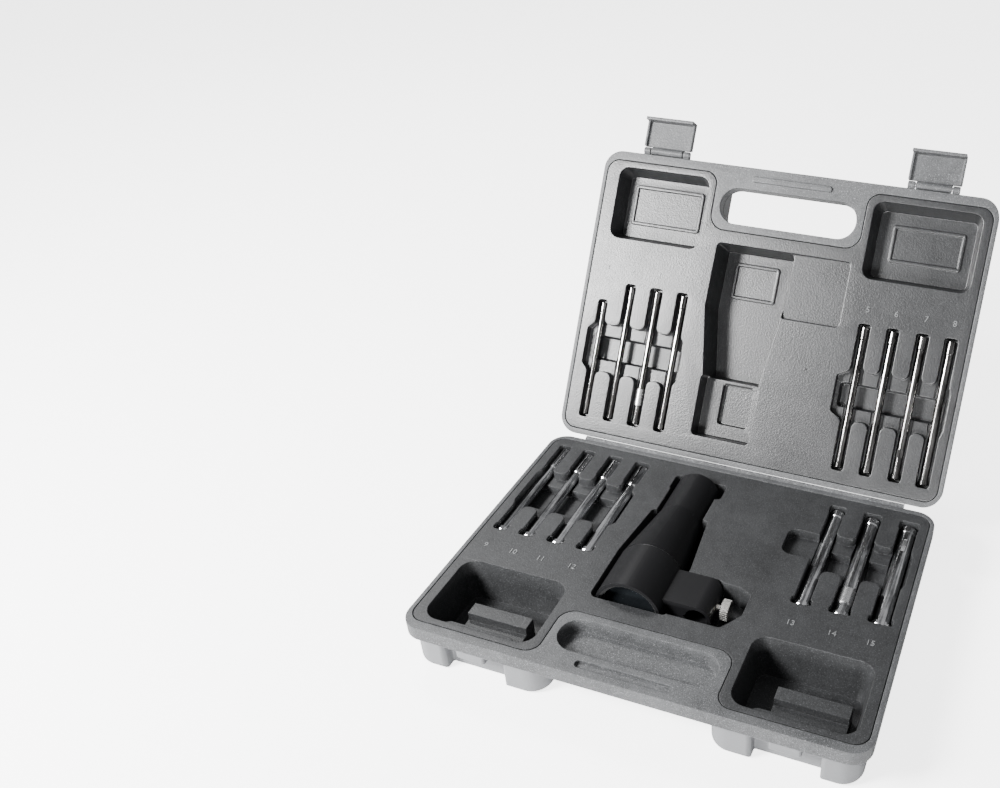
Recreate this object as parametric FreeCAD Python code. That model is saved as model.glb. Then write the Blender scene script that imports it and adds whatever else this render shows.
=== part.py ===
import FreeCAD, Part
import math
import os

Vector = FreeCAD.Vector

# Optical alignment-sight kit: a collimator with a thumb-screw mount and fifteen steel arbors, stored in
# a hinged case that stands open. Millimetres, +X to the right, +Y to the hinge, +Z up, and the origin on
# the ground under the middle of the base. Each half of the case is drawn in its own flat frame, with its
# rim face at z = 0, y from its near edge, and its pockets below. Depths count down from the rim face.

# ---------------------------------------------------------------- driving sizes: case
case_width = 260.0
case_depth = 192.0
base_height = 32.0
lid_height = 30.0
corner_radius = 12.0
wall = 1.8
flange_depth = 9.0
body_inset = 3.5
foot_round = 4.0
lobe_corner = 12.0
open_angle = 122.0
hinge_gap = 3.0
seam_gap = 0.4
film_thickness = 0.6
film_margin = 21.0

# Trays: plates that drop into the shells inside the rim.
plate_thickness = 2.2
rim_inset = 3.0
rim_front_inset = 6.0
rim_back_inset = 4.0
rim_corner = 8.0
plate_gap = 0.35
ledge = 2.0
skin_gap = 0.5
pocket_draft = 3.0
bin_draft = 9.0

# Handle: a bar between the front edge and a stadium pocket, with a hand recess underneath.
handle_half_width = 50.0
handle_depth = 42.0
handle_corner = 10.0
handle_pocket_half_width = 45.0
handle_pocket_start = 14.0
handle_pocket_end = 37.0
handle_pocket_depth = 8.0
handle_bar_thickness = 11.0
hand_recess_half_width = 46.0
hand_recess_depth = 39.0
groove_half_length = 27.0
groove_start = 4.8
groove_width = 5.0
groove_depth = 2.0
rib_clearance = 0.7

# Latches, their pins and the catches on the front of the base.
latch_x = 88.0
latch_width = 33.0
latch_reach = 21.0
latch_drop = 2.0
latch_plate = 2.0
latch_lip = 2.0
latch_hook = 2.0
latch_flange = 2.2
latch_knuckle_radius = 2.4
latch_knuckle_width = 22.0
latch_lug_width = 4.5
latch_pin_radius = 1.0
latch_running_clearance = 0.06
latch_side_clearance = 0.5
latch_flange_clearance = 0.3
latch_recess_width = 36.0
latch_recess_depth = 11.5
latch_recess_corner = 3.0
catch_width = 17.0
catch_face = 1.5
catch_round = 1.6
catch_clearance = 0.5

# ---------------------------------------------------------------- driving sizes: collimator
sight_x = -19.5
sight_drop = 7.0
sight_front = 57.0
barrel_radius = 20.0
barrel_length = 35.0
barrel_wall = 2.0
cone_length = 46.0
tail_radius = 14.0
tail_length = 23.0
cap_length = 12.0
cap_chamfer = 1.0
cap_wall = 1.5
cap_eye = 10.0
tube_wall = 1.8
spigot_length = 4.0
spigot_clearance = 0.05
seam_width = 0.6
lens_ring_length = 6.0
lens_ring_wall = 1.9
lens_thickness = 4.0
lens_bulge = 1.2
window_thickness = 2.0
reticle_thickness = 1.0
reticle_ring_length = 4.0
reticle_ring_wall = 2.2

block_width = 26.0
block_setback = 7.5
block_thickness = 17.0
block_reach = 38.0
block_corner = 6.0
arbor_bore_radius = 6.5
vee_depth = 1.3
vee_half_width = 1.6

screw_setback = 12.5
screw_radius = 2.45
screw_clearance = 0.05
screw_length = 14.5
screw_stand_off = 2.5
screw_head_radius = 6.0
screw_head_length = 5.0
screw_knurls = 30
screw_chamfer = 0.6
screw_knurl_depth = 0.45
screw_travel = 8.0
thread_pitch = 0.8
thread_depth = 0.35
pad_radius = 2.0
pad_length = 1.8
pad_chamfer = 0.4

# ---------------------------------------------------------------- driving sizes: arbors and their slots
arbor_cover = 1.0
slot_floor_gap = 0.4
base_slot_gap = 0.8
lid_slot_gap = 1.1
slot_end_gap = 1.5
slot_corner = 2.0
collar_length = 3.0
collar_slope = 0.6
tip_chamfer = 0.5
split_width = 0.7
split_length = 18.0

# Each arbor: number, x, start, length, shaft, front collar and rear collar diameters, rear length.
lid_arbors = [
    (1, -114.0, 14.0, 77.0, 3.6, 4.2, 4.4, 6.0),
    (2, -96.0, 14.0, 90.0, 4.0, 4.6, 4.9, 8.0),
    (3, -77.5, 14.0, 90.0, 4.3, 5.0, 5.2, 8.0),
    (4, -59.0, 14.0, 90.0, 4.6, 5.3, 5.5, 8.0),
    (5, 63.0, 13.5, 90.5, 4.8, 5.4, 5.6, 8.0),
    (6, 81.0, 13.5, 90.5, 5.0, 5.6, 5.8, 8.0),
    (7, 99.5, 13.5, 90.5, 5.2, 5.8, 6.0, 8.0),
    (8, 117.0, 13.5, 90.5, 5.4, 6.0, 6.2, 8.0),
]
base_arbors = [
    (9, -117.0, 90.0, 89.0, 5.4, 7.4, 6.4, 20.0),
    (10, -99.5, 90.0, 89.0, 6.2, 8.4, 7.4, 20.0),
    (11, -80.5, 90.0, 89.0, 6.6, 9.0, 8.0, 20.0),
    (12, -61.0, 90.0, 89.0, 7.0, 9.4, 8.6, 20.0),
    (13, 71.0, 90.0, 88.5, 7.7, 10.3, 8.8, 5.0),
    (14, 93.0, 90.0, 88.5, 8.5, 10.9, 9.6, 5.0),
    (15, 115.5, 90.0, 88.5, 9.6, 12.2, 10.6, 5.0),
]
split_arbors = (9, 10, 11, 12)
sleeved_arbor = 3
notched_arbor = 7
clipped_arbor = 14
sprung_arbor = 15
sleeve_start = 13.0
sleeve_length = 11.0
sleeve_wall = 0.7
clip_start = 11.0
clip_length = 12.0
clip_wall = 0.5
spring_start = 65.0
spring_length = 11.0
spring_width = 2.4
spring_rise = 0.8
spring_seat = 0.3
spring_end_gap = 1.0
notch_start = 14.0
notch_length = 5.0
notch_depth = 0.8

# What some shafts carry round them.
girth = {sleeved_arbor: sleeve_wall, clipped_arbor: clip_wall}

# ---------------------------------------------------------------- driving sizes: pockets
# An outline's sizes are its left, right, near and far sides and its corner radius.
bin_depth = 25.0
bin_start = 10.0
bin_end = 59.0
bin_inner_x = 55.0
bin_outer_x = 121.0
bin_corner = 9.0
step_depth = 17.5
step_end = 32.0
plateau_depth = 12.5
plateau_end = 39.0
plateau_spans = ((-106.0, -69.0), (74.0, 114.0))

shelf_depth = 6.0
trough_depth = 11.0
trough_draft = 12.0
trough_corner = 4.0
tongue_corner = 4.0
slot_draft = 0.5
well_corner = 2.0
well_chamfer = 4.0
# Each well: near and far edges, left and right ends or none, and the near and far edges of its trough.
base_left_well = (114.0, 151.0, -122.0, -53.5, 119.0, 145.0)
base_right_well = (119.6, 152.0, None, 122.8, 124.0, 144.0)
lid_left_well = (44.6, 76.6, -121.8, -52.3, 51.0, 70.0)
lid_right_well = (44.4, 75.6, 51.6, 122.8, 50.5, 69.0)
side_well = (48.0, 70.0, 127.0, 150.0, 6.0)

barrel_well_gap = 2.0
block_side_gap = 3.5
cradle_gap = 0.4
block_pocket_depth = 17.0
block_gap = 1.2
block_room = 8.0
screw_pocket_depth = 14.5
screw_pocket_near = 8.0
screw_pocket_far = 9.0
screw_pocket_wide = 13.0
lid_pocket_depth = 15.0
lid_pocket_draft = 12.0
lid_pocket_corner = 6.5
lid_pocket_inner_x = 54.5
lid_left_pocket = (-118.0, 135.0)
lid_right_pocket = (121.5, 133.5)
lid_sight_depth = 23.0
lid_sight_draft = 6.0
lid_tail_depth = 12.5
lid_key_depth = 16.5
lid_pad_depth = 3.4
lid_pad_left = 6.0
lid_pad_right = 47.0
lid_recess_corner = 3.0
# The lid's recesses for the sight are given over the base, where they come to lie when the lid is shut.
over_sight = [(-42.5, 92.0, 5.0), (-35.0, 139.0, 3.0), (2.5, 139.0, 3.0), (9.0, 92.0, 5.0), (10.0, 50.0, 3.0),
              (-42.0, 50.0, 3.0)]
over_tail = (-36.5, 3.5, 136.0, 176.5)
over_key = (-24.5, -2.0, 139.0, 168.0)
over_pad_near = 50.0
over_panel = (-33.0, -2.5, 59.0, 83.0)
lid_recess_draft = 4.0
panel_height = 1.2
panel_width = 2.0
panel_corner = 2.0
pocket_panels = [(-110.0, -61.0, 147.0, 173.5), (67.0, 112.5, 147.5, 171.0)]


# ---------------------------------------------------------------- outlines
def corner_span(corners, index, z):
    """Start, middle and end of the arc that rounds one corner."""
    x, y, radius = corners[index]
    here = Vector(x, y, z)
    before = corners[index - 1]
    after = corners[(index + 1) % len(corners)]
    back = (Vector(before[0], before[1], z) - here).normalize()
    ahead = (Vector(after[0], after[1], z) - here).normalize()
    half = back.getAngle(ahead) / 2
    reach = radius / math.tan(half)
    inward = (back + ahead).normalize()
    middle = here + inward * (radius / math.sin(half) - radius)
    return here + back * reach, middle, here + ahead * reach


def outline(corners, z=0.0):
    """Closed wire through (x, y, radius) corners at height z."""
    spans = [corner_span(corners, index, z) for index in range(len(corners))]
    edges = []
    for index, (start, middle, end) in enumerate(spans):
        edges.append(Part.Arc(start, middle, end).toShape())
        following = spans[(index + 1) % len(spans)][0]
        if end.distanceToPoint(following) > 1e-6:
            edges.append(Part.LineSegment(end, following).toShape())
    return Part.Wire(edges)


def inset(corners, distance):
    """The same outline moved inwards, or outwards where the distance is negative."""
    moved = []
    count = len(corners)
    for index, (x, y, radius) in enumerate(corners):
        before = corners[index - 1]
        after = corners[(index + 1) % count]
        back = Vector(before[0] - x, before[1] - y, 0).normalize()
        ahead = Vector(after[0] - x, after[1] - y, 0).normalize()
        half = back.getAngle(ahead) / 2
        hollow = ahead.cross(back).z < 0
        step = (back + ahead).normalize() * (distance / math.sin(half))
        if hollow:
            step = -step
        new_radius = radius + distance if hollow else radius - distance
        moved.append((x + step.x, y + step.y, max(new_radius, 0.4)))
    return moved


def rectangle(left, right, near, far, radius):
    """Corners of a rounded rectangle."""
    return [(left, near, radius), (right, near, radius), (right, far, radius), (left, far, radius)]


def shut_over(left, right, near, far, radius):
    """Rounded rectangle in the lid that lies over a place of the base when the lid is shut."""
    return rectangle(left, right, case_depth - far, case_depth - near, radius)


def prism(corners, low, high):
    """Straight solid over an outline."""
    face = Part.Face(outline(corners, low))
    return face.extrude(Vector(0, 0, high - low))


def drafted(corners, depth, draft, top=0.0):
    """Solid that narrows downwards from the outline at z = 0, its top cut level at the height top."""
    slope = math.tan(math.radians(draft))
    upper = outline(inset(corners, -top * slope), top)
    lower = outline(inset(corners, depth * slope), -depth)
    return Part.makeLoft([lower, upper], True, True)


def joined(shapes):
    """One solid from overlapping or touching shapes."""
    whole = shapes[0]
    if len(shapes) > 1:
        whole = whole.multiFuse(shapes[1:])
    return whole.removeSplitter()


def bar(x0, x1, y0, y1, z0, z1):
    """Box between two corners."""
    return Part.makeBox(x1 - x0, y1 - y0, z1 - z0, Vector(x0, y0, z0))


def turned(profile, centre, axis):
    """Solid of revolution: profile is (distance along the axis, radius) from the centre."""
    flat = [Vector(along, 0, radius) for along, radius in profile]
    solid = Part.Face(Part.makePolygon(flat + flat[:1])).revolve(Vector(), Vector(1, 0, 0), 360)
    solid.Placement = FreeCAD.Placement(centre, FreeCAD.Rotation(Vector(1, 0, 0), axis))
    return solid


# ---------------------------------------------------------------- placing the halves
rim_height = base_height
hinge_y = case_depth / 2 + hinge_gap / 2
hinge_z = rim_height + seam_gap / 2
base_place = FreeCAD.Placement(Vector(0, -case_depth / 2, rim_height), FreeCAD.Rotation())
lid_turn = FreeCAD.Placement(Vector(0, hinge_y, hinge_z), FreeCAD.Rotation(Vector(1, 0, 0), 180 - open_angle))
lid_place = lid_turn.multiply(FreeCAD.Placement(Vector(0, hinge_gap / 2, -seam_gap / 2), FreeCAD.Rotation()))


def save(node, shape, place):
    """Write one node, carried from its half's flat frame to where it stands."""
    moved = shape.copy()
    moved.Placement = place.multiply(moved.Placement)
    if moved.ShapeType == "Compound" and len(moved.Solids) == 1:
        moved = moved.Solids[0]
    if not moved.isValid() or len(moved.Solids) != 1:
        raise ValueError("bad shape for " + node)
    moved.exportStep("parts/" + node + ".step")


# ---------------------------------------------------------------- case shells
half_width = case_width / 2
case_outline = rectangle(-half_width, half_width, 0, case_depth, corner_radius)


def rim_line(handle_at_start):
    """Edge of the tray plate: inside the rim, stepping round the handle."""
    side = half_width - rim_inset
    near = rim_front_inset
    far = case_depth - rim_back_inset
    inner = handle_half_width
    line = [
        (-side, near, rim_corner),
        (-inner, near, rim_corner),
        (-inner, handle_depth, handle_corner),
        (inner, handle_depth, handle_corner),
        (inner, near, rim_corner),
        (side, near, rim_corner),
        (side, far, rim_corner),
        (-side, far, rim_corner),
    ]
    if handle_at_start:
        return line
    return [(x, case_depth - y, radius) for x, y, radius in reversed(line)]


def at_handle(y, handle_at_start):
    """Distance from the handle edge turned into the half's own y."""
    return y if handle_at_start else case_depth - y


def handle_outline(half_wide, start, end, radius, handle_at_start):
    """Rounded rectangle given by its distances from the handle edge."""
    first = at_handle(start, handle_at_start)
    last = at_handle(end, handle_at_start)
    return rectangle(-half_wide, half_wide, min(first, last), max(first, last), radius)


def body_line(handle_at_start):
    """Outline of the body under the flange, stepping round the hand recess."""
    side = half_width - body_inset
    far = case_depth - body_inset
    line = [
        (-side, body_inset, corner_radius),
        (-hand_recess_half_width, body_inset, lobe_corner),
        (-hand_recess_half_width, hand_recess_depth, handle_corner),
        (hand_recess_half_width, hand_recess_depth, handle_corner),
        (hand_recess_half_width, body_inset, lobe_corner),
        (side, body_inset, corner_radius),
        (side, far, corner_radius),
        (-side, far, corner_radius),
    ]
    if handle_at_start:
        return line
    return [(x, case_depth - y, radius) for x, y, radius in reversed(line)]


def latch_recess(side, grow):
    """Space for one latch in the front wall of the base, open at the bottom, its front edges rounded."""
    half = latch_recess_width / 2
    margin = latch_recess_corner + wall
    centre = side * latch_x
    line = [
        (centre - half - margin, -corner_radius, 0.5),
        (centre + half + margin, -corner_radius, 0.5),
        (centre + half + margin, body_inset, 0.5),
        (centre + half, body_inset, latch_recess_corner),
        (centre + half, latch_recess_depth, 1.0),
        (centre - half, latch_recess_depth, 1.0),
        (centre - half, body_inset, latch_recess_corner),
        (centre - half - margin, body_inset, 0.5),
    ]
    return prism(inset(line, -grow), -base_height - 1, -flange_depth + grow)


def shell_body(grow, height, handle_at_start):
    """Body under the flange, its foot edge rounded, with a bridge under the handle bar."""
    line = inset(body_line(handle_at_start), grow)
    body = prism(line, -height + grow, -flange_depth + 1)
    floor = [edge for edge in body.Edges if edge.BoundBox.ZMax < -height + grow + 0.01]
    body = body.makeFillet(foot_round - grow / 2, floor)
    bridge = prism(inset(case_outline, body_inset + grow), -handle_bar_thickness + grow, -flange_depth + 1)
    return joined([body, bridge])


def case_shell(height, handle_at_start):
    """Outer half: flange, body walls and handle block, open where the tray drops in."""
    line = rim_line(handle_at_start)
    solid = joined([prism(case_outline, -flange_depth, 0), shell_body(0, height, handle_at_start)])
    inner = shell_body(wall, height, handle_at_start)
    inner = inner.cut(prism(case_outline, -flange_depth, 2))
    mouth = prism(inset(line, ledge), -flange_depth, -plate_thickness)
    seat = prism(inset(line, -plate_gap), -plate_thickness, 1)
    return solid.cut(joined([inner, mouth, seat]))


def catch(side):
    """Block that one latch hooks under, rounded in front."""
    centre = side * latch_x
    bottom = -(latch_reach - latch_lip) + latch_drop + catch_clearance
    block = bar(centre - catch_width / 2, centre + catch_width / 2, catch_face, latch_recess_depth + wall / 2,
                bottom, -flange_depth + 0.5)
    front = [edge for edge in block.Edges
             if edge.BoundBox.YMax < catch_face + 0.01 and edge.BoundBox.ZMin < -flange_depth]
    return block.makeFillet(catch_round, front)


base_shell = case_shell(base_height, True)
for side in (-1, 1):
    skin = latch_recess(side, wall).common(shell_body(0, base_height, True))
    space = latch_recess(side, 0)
    base_shell = joined([base_shell.cut(space), skin.cut(space), catch(side)])
groove = handle_outline(groove_half_length, groove_start, groove_start + groove_width,
                        groove_width / 2 - 0.1, True)
handle_pocket = handle_outline(handle_pocket_half_width, handle_pocket_start, handle_pocket_end,
                               (handle_pocket_end - handle_pocket_start) / 2 - 0.2, True)
base_shell = base_shell.cut(drafted(groove, groove_depth, pocket_draft, 1))
base_shell = base_shell.cut(drafted(handle_pocket, handle_pocket_depth, bin_draft, 1))

lid_shell = case_shell(lid_height, False)
lid_handle = handle_outline(handle_pocket_half_width, handle_pocket_start, handle_pocket_end,
                            (handle_pocket_end - handle_pocket_start) / 2 - 0.2, False)
lid_shell = lid_shell.cut(prism(lid_handle, -lid_height, 1))
rib = handle_outline(groove_half_length - rib_clearance, groove_start + rib_clearance,
                     groove_start + groove_width - rib_clearance,
                     groove_width / 2 - rib_clearance - 0.1, False)
lid_shell = joined([lid_shell, prism(rib, -1, seam_gap / 2 + panel_height)])


# ---------------------------------------------------------------- trays
def slot_voids(arbor, waisted):
    """Slot for one arbor: straight, or a neck along its shaft with a bulb at each end."""
    number, x, start, length, shaft, front, rear, rear_length = arbor
    depth = arbor_axis_depth(arbor) + max(front, rear) / 2 + slot_floor_gap
    near = start - slot_end_gap
    far = start + length + slot_end_gap
    spans = [(neck_half(arbor, waisted), near, far)]
    if waisted:
        spans.append((front / 2 + base_slot_gap, near, start + collar_length + slot_end_gap))
        spans.append((rear / 2 + base_slot_gap, far - rear_length - 2 * slot_end_gap, far))
    lines = [rectangle(x - half, x + half, low, high, slot_corner) for half, low, high in spans]
    return [(line, depth, slot_draft) for line in lines]


def neck_half(arbor, waisted):
    """Half the width of an arbor's slot along its shaft."""
    if waisted:
        return arbor[4] / 2 + girth.get(arbor[0], 0.0) + base_slot_gap
    return max(arbor[5], arbor[6]) / 2 + girth.get(arbor[0], 0.0) + lid_slot_gap


def finger_well(arbors, waisted, sizes):
    """Well across a row of slots: a shelf, rounded tongues of plate between the slots, and a trough."""
    near, far, left, right, trough_near, trough_far = sizes
    reach = tongue_corner + wall + 1
    near_edge = []
    far_edge = []
    for arbor in arbors:
        half = neck_half(arbor, waisted)
        low, high = arbor[1] - half, arbor[1] + half
        near_edge += [(low, near, tongue_corner), (low, near - reach, 0.4),
                      (high, near - reach, 0.4), (high, near, tongue_corner)]
        far_edge += [(low, far, tongue_corner), (low, far + reach, 0.4),
                     (high, far + reach, 0.4), (high, far, tongue_corner)]
    right_end = [(right, near + well_chamfer, well_corner), (right, far - well_chamfer, well_corner)]
    corners = near_edge + right_end + far_edge[::-1]
    if left is None:
        corners = corners[1:-1]
        left = near_edge[0][0]
    else:
        corners += [(left, far - well_chamfer, well_corner), (left, near + well_chamfer, well_corner)]
    trough = rectangle(left + 1, right - 1, trough_near, trough_far, trough_corner)
    return [(corners, shelf_depth, slot_draft), (trough, trough_depth, trough_draft)]


def arbor_axis_depth(arbor):
    """Depth of an arbor's axis: its widest collar stays below the rim."""
    return max(arbor[5], arbor[6]) / 2 + arbor_cover


def tray(line, voids, cores):
    """Plate with a skin round each void; cores are what the shell pushes up from below."""
    plate = prism(line, -plate_thickness, 0)
    skins = [drafted(inset(shape, -wall), depth + wall, draft) for shape, depth, draft in voids]
    body = joined([plate] + skins)
    hollow = joined([drafted(shape, depth, draft, 1.0) for shape, depth, draft in voids])
    for core, cover in cores:
        body = body.cut(core)
        hollow = hollow.cut(cover)
    return body.cut(hollow)


barrel_depth = sight_drop + barrel_radius + cradle_gap
tail_depth = sight_drop + tail_radius + cradle_gap
cone_start = sight_front + barrel_length + seam_width
tail_start = cone_start + cone_length
cap_start = tail_start + tail_length
sight_end = cap_start + cap_length
well_left = sight_x - barrel_radius - barrel_well_gap
well_right = sight_x + barrel_radius + block_side_gap
tail_left = sight_x - tail_radius
tail_right = sight_x + tail_radius
block_end = sight_x + block_reach + block_thickness / 2
block_front = sight_front + block_setback
block_back = block_front + block_width
screw_y = block_front + screw_setback
screw_room_x = block_end + screw_stand_off + screw_head_length + screw_travel + 1.0

screw_pocket_near_y = screw_y - screw_pocket_near
block_pocket_near = block_front - block_room
sight_voids = [
    ([(well_left, sight_front - 2, 4), (well_right, sight_front - 2, 2), (well_right, cone_start + 3, 2),
      (tail_right + 4.5, tail_start, 3), (tail_left - 3.5, tail_start, 3), (well_left, cone_start + 3, 6)],
     barrel_depth, 0.5),
    (rectangle(tail_left - 1, tail_right + 1, tail_start - 4, cap_start + 1, 1.5), tail_depth, 0.5),
    (rectangle(tail_left - 2, tail_right + 4.5, cap_start - 1, sight_end + 2, 3), tail_depth, 0.5),
    (rectangle(well_right - 6, block_end + block_gap, block_pocket_near, block_back + block_gap,
               block_corner + block_gap / 2), block_pocket_depth, 1.0),
    ([(block_end - 4, block_pocket_near, 1), (block_end + 8, block_pocket_near, 3),
      (screw_room_x, screw_pocket_near_y, 4), (screw_room_x, screw_y + screw_pocket_far, 3),
      (block_end + 8, screw_y + screw_pocket_wide, 3), (block_end - 4, screw_y + screw_pocket_wide, 1)],
     screw_pocket_depth, 1.0),
]


def bin_outline(side):
    """Corners of one bin at the front of the base."""
    edges = sorted((side * bin_inner_x, side * bin_outer_x))
    return rectangle(edges[0], edges[1], bin_start, bin_end, bin_corner)


def bin_step(span, grow):
    """Stepped block that the bottom of the case pushes up into the front of one bin."""
    left, right = span
    floor = -bin_depth - 2 * wall
    low = bar(left - grow, right + grow, 0, step_end + grow, floor, -step_depth + grow)
    high = bar(left - grow, right + grow, step_end - wall - grow, plateau_end + grow,
               floor, -plateau_depth + grow)
    return joined([low, high])


base_left = [arbor for arbor in base_arbors if arbor[1] < 0]
base_right = [arbor for arbor in base_arbors if arbor[1] > 0]
lid_left = [arbor for arbor in lid_arbors if arbor[1] < 0]
lid_right = [arbor for arbor in lid_arbors if arbor[1] > 0]

base_voids = [(bin_outline(side), bin_depth, bin_draft) for side in (-1, 1)] + sight_voids
base_voids += finger_well(base_left, True, base_left_well) + finger_well(base_right, True, base_right_well)
base_voids.append((rectangle(*side_well), shelf_depth, pocket_draft))
for arbor in base_arbors:
    base_voids += slot_voids(arbor, True)
base_cores = [(bin_step(span, -wall), bin_step(span, 0)) for span in plateau_spans]
for side in (-1, 1):
    base_cores.append((latch_recess(side, wall + skin_gap), latch_recess(side, 2 * wall + skin_gap)))
base_tray = tray(rim_line(True), base_voids, base_cores)

lid_pocket_far = case_depth - rim_front_inset - ledge - wall - 0.2
left_x, left_near = lid_left_pocket
right_x, right_near = lid_right_pocket
lid_voids = [
    (rectangle(left_x, -lid_pocket_inner_x, left_near, lid_pocket_far, lid_pocket_corner),
     lid_pocket_depth, lid_pocket_draft),
    (rectangle(lid_pocket_inner_x, right_x, right_near, lid_pocket_far, lid_pocket_corner),
     lid_pocket_depth, lid_pocket_draft),
    ([(x, case_depth - y, radius) for x, y, radius in over_sight], lid_sight_depth, lid_sight_draft),
    (shut_over(*over_tail, lid_recess_corner), lid_tail_depth, lid_recess_draft),
    (shut_over(*over_key, lid_recess_corner), lid_key_depth, lid_recess_draft),
    (shut_over(lid_pad_left, lid_pad_right, over_pad_near, block_back + block_gap, lid_recess_corner),
     lid_pad_depth, lid_recess_draft),
]
lid_voids += finger_well(lid_left, False, lid_left_well) + finger_well(lid_right, False, lid_right_well)
for arbor in lid_arbors:
    lid_voids += slot_voids(arbor, False)


def raised_panel(line, depth):
    """Low raised frame on the floor of a pocket."""
    panel = prism(line, -depth - wall / 2, -depth + panel_height)
    return panel.cut(prism(inset(line, panel_width), -depth, -depth + panel_height + 1))


panels = [raised_panel(rectangle(*sides, panel_corner), lid_pocket_depth) for sides in pocket_panels]
panels.append(raised_panel(shut_over(*over_panel, panel_corner), lid_sight_depth))
lid_tray = joined([tray(rim_line(False), lid_voids, [])] + panels)

os.makedirs("parts", exist_ok=True)
save("base_shell", base_shell, base_place)
save("base_tray", base_tray, base_place)
save("lid_tray", lid_tray, lid_place)


# ---------------------------------------------------------------- living hinge
def film():
    """Thin strip from the back edge of the base to the near edge of the lid."""
    low = hinge_z - seam_gap / 2 - film_thickness - 0.2
    lid_foot = lid_place.multVec(Vector(0, 0, -0.2 - film_thickness))
    lid_head = lid_place.multVec(Vector(0, 0, -0.2))
    start = Vector(0, case_depth / 2, low)
    top = Vector(0, case_depth / 2, low + film_thickness)
    face = Part.Face(Part.makePolygon([start, top, lid_head, lid_foot, start]))
    length = case_width - 2 * film_margin
    strip = face.extrude(Vector(length, 0, 0))
    strip.translate(Vector(-length / 2, 0, 0))
    return strip


save("living_hinge", film(), FreeCAD.Placement())

# ---------------------------------------------------------------- latches
pivot_y = case_depth + latch_knuckle_radius + latch_flange_clearance
pivot_z = -latch_drop


def latch(side):
    """Channel latch on a knuckle, its end lip turned towards the face of the lid."""
    centre = side * latch_x
    half = latch_width / 2
    root = pivot_y + latch_knuckle_radius + 0.4
    tip = pivot_y + latch_reach
    back = pivot_z - latch_knuckle_radius
    plate = bar(centre - half, centre + half, root, tip, back, back + latch_plate)
    half_knuckle = latch_knuckle_width / 2
    knuckle = Part.makeCylinder(latch_knuckle_radius, latch_knuckle_width,
                                Vector(centre - half_knuckle, pivot_y, pivot_z), Vector(1, 0, 0))
    web = bar(centre - half_knuckle, centre + half_knuckle, pivot_y, root + 1, back, back + latch_plate)
    lip_top = pivot_z + pivot_y - case_depth + catch_face + latch_hook
    lip = bar(centre - half, centre + half, tip - latch_lip, tip, back, lip_top)
    shapes = [plate, knuckle, web, lip]
    for end in (-1, 1):
        edge = centre + end * half
        inner = edge - end * latch_plate * 0.8
        shapes.append(bar(min(edge, inner), max(edge, inner), root, tip,
                          back, back + latch_plate + latch_flange))
    whole = joined(shapes)
    bore = Part.makeCylinder(latch_pin_radius + latch_running_clearance, latch_width,
                             Vector(centre - half, pivot_y, pivot_z), Vector(1, 0, 0))
    return whole.cut(bore)


def lug(side, end):
    """Ear on the lid's edge that holds one end of a latch pin."""
    inner = side * latch_x + end * (latch_knuckle_width / 2 + latch_side_clearance)
    outer = inner + end * latch_lug_width
    low, high = min(inner, outer), max(inner, outer)
    barrel = Part.makeCylinder(latch_knuckle_radius - 0.2, high - low,
                               Vector(low, pivot_y, pivot_z), Vector(1, 0, 0))
    root = bar(low, high, case_depth - 1, pivot_y, pivot_z - latch_knuckle_radius + 0.2, pivot_z + 1)
    pin_hole = Part.makeCylinder(latch_pin_radius, high - low, Vector(low, pivot_y, pivot_z), Vector(1, 0, 0))
    return joined([barrel, root]).cut(pin_hole)


for side, name in ((-1, "left"), (1, "right")):
    lid_shell = joined([lid_shell, lug(side, -1), lug(side, 1)])
    save("latch_" + name, latch(side), lid_place)
    pin_length = latch_knuckle_width + 2 * (latch_side_clearance + latch_lug_width)
    pin = Part.makeCylinder(latch_pin_radius, pin_length,
                            Vector(side * latch_x - pin_length / 2, pivot_y, pivot_z), Vector(1, 0, 0))
    save("latch_pin_" + name, pin, lid_place)
save("lid_shell", lid_shell, lid_place)

# ---------------------------------------------------------------- collimator
along = Vector(0, 1, 0)


def on_axis(y):
    """Point on the sight's axis at a distance behind the front edge of the case."""
    return Vector(sight_x, y, -sight_drop)


def ring(y0, y1, outer0, outer1, inner0, inner1):
    """Turned ring whose outer and inner radii may taper from y0 to y1."""
    length = y1 - y0
    return turned([(0, inner0), (0, outer0), (length, outer1), (length, inner1)], on_axis(y0), along)


barrel_end = sight_front + barrel_length
barrel_bore = barrel_radius - barrel_wall
bore_centre = Vector(sight_x + block_reach, block_front, -sight_drop)


def mount_block():
    """Block beside the barrel with a round end, a bore for the arbor and a V over it."""
    half = block_thickness / 2
    stem = bar(sight_x, bore_centre.x, block_front, block_back, -sight_drop - half, -sight_drop + half)
    end = Part.makeCylinder(half, block_width, bore_centre, along)
    block = joined([stem, end])
    plan = rectangle(sight_x - barrel_radius, block_end,
                     block_front - 3 * block_corner, block_back, block_corner)
    corner = prism(plan, -sight_drop - barrel_radius, -sight_drop + barrel_radius)
    return block.common(corner)


def arbor_bore():
    """Bore through the block with its V notch on the barrel side."""
    round_bore = Part.makeCylinder(arbor_bore_radius, block_width, bore_centre, along)
    tip = bore_centre + Vector(-arbor_bore_radius - vee_depth, 0, 0)
    low = bore_centre + Vector(-arbor_bore_radius + 0.4, 0, -vee_half_width)
    high = bore_centre + Vector(-arbor_bore_radius + 0.4, 0, vee_half_width)
    notch = Part.Face(Part.makePolygon([tip, low, high, tip])).extrude(along * block_width)
    return joined([round_bore, notch])


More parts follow.
